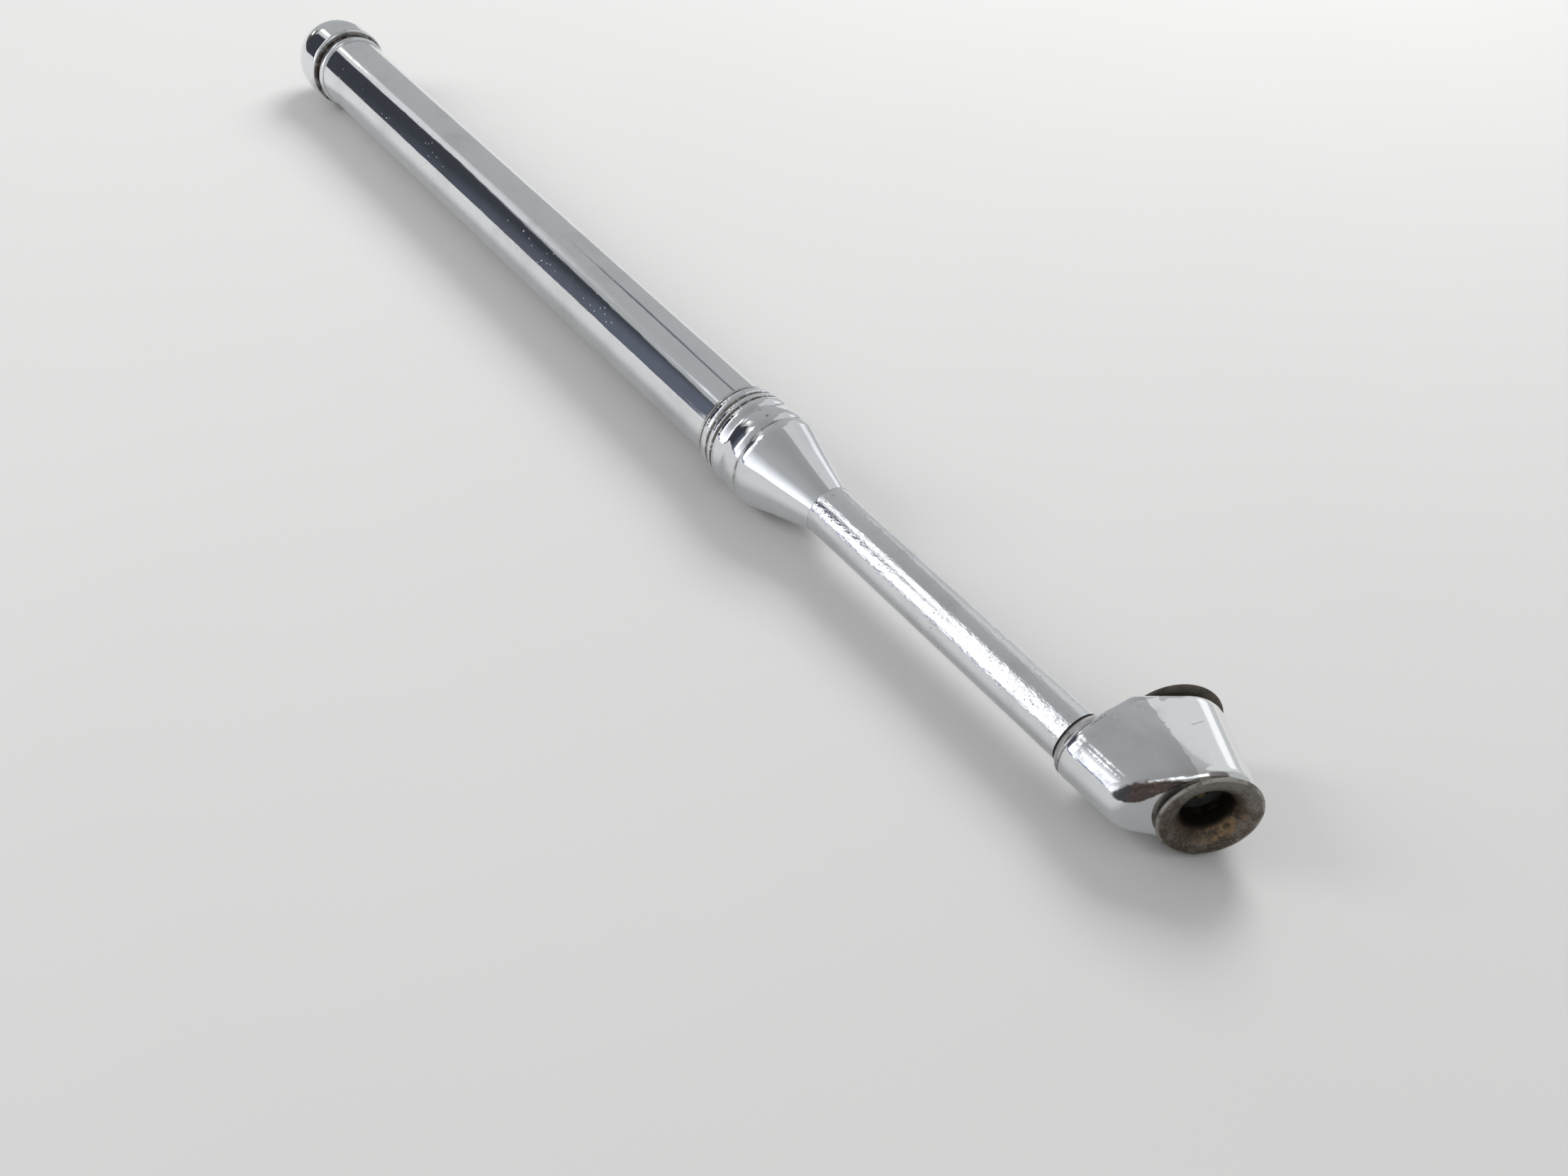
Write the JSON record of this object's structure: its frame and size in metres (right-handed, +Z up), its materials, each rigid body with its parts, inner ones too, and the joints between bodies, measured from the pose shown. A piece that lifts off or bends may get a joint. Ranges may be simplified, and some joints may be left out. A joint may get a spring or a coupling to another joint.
{
  "type": "tire pressure gauge",
  "caption": "Long pencil-type tyre pressure gauge with a slim stem, an offset chuck head with two opposed feet, and a sliding indicator bar.",
  "frame": {"origin": "on the bench, below the middle of the gauge as it lies", "axes": "+X along the barrel towards the chuck, +Z up, +Y to the side the chuck stands out to"},
  "size_m": [0.3109, 0.0357, 0.0198],
  "materials": {
    "chrome": "bright chrome plate with fine wear",
    "foot_metal": "worn, tarnished nickel on brass, brown and grey",
    "rubber": "black rubber, matt",
    "leather": "oiled brown leather",
    "steel": "plain steel",
    "brass": "machined brass",
    "bar_metal": "satin light metal with dark scale marks"
  },
  "bodies": {
    "casing": {"end_cap": "chrome", "bar_guide": "brass", "friction_clip": "steel", "barrel_tube": "chrome", "lock_ring": "chrome", "collar_rings": "chrome", "ferrule_gasket": "rubber", "cone_ferrule": "chrome", "inlet_strainer": "brass", "stem_tube": "chrome", "stem_washer": "rubber", "chuck_head": "chrome", "front_foot": "foot_metal", "rear_foot": "foot_metal", "front_foot_washer": "rubber", "rear_foot_washer": "rubber", "spring_seat": "steel", "main_spring": "steel"},
    "piston": {"piston_body": "brass", "piston_cup": "leather", "cup_spreader": "brass", "piston_nut": "steel"},
    "indicator": {"indicator_bar": "bar_metal", "bar_tail": "brass", "bar_end_button": "chrome"},
    "depressor": {"depressor_pin": "brass", "front_pin_seal": "rubber", "rear_pin_seal": "rubber"}
  },
  "joints": [
    {"name": "piston_slide", "type": "slide", "parent": "casing", "child": "piston", "axis": [-1, 0, 0], "range_m": [0, 0.062], "stiffness_N_per_m": 2400, "deforming": ["main_spring"]},
    {"name": "indicator_slide", "type": "slide", "parent": "casing", "child": "indicator", "axis": [-1, 0, 0], "range_m": [0, 0.062]},
    {"name": "depressor_slide", "type": "slide", "parent": "casing", "child": "depressor", "axis": [0.866, -0.4992, 0.0276], "range_m": [-0.001, 0.001]}
  ],
  "couplings": [
    {"joint": "indicator_slide", "follows": "piston_slide", "ratio": 1}
  ]
}
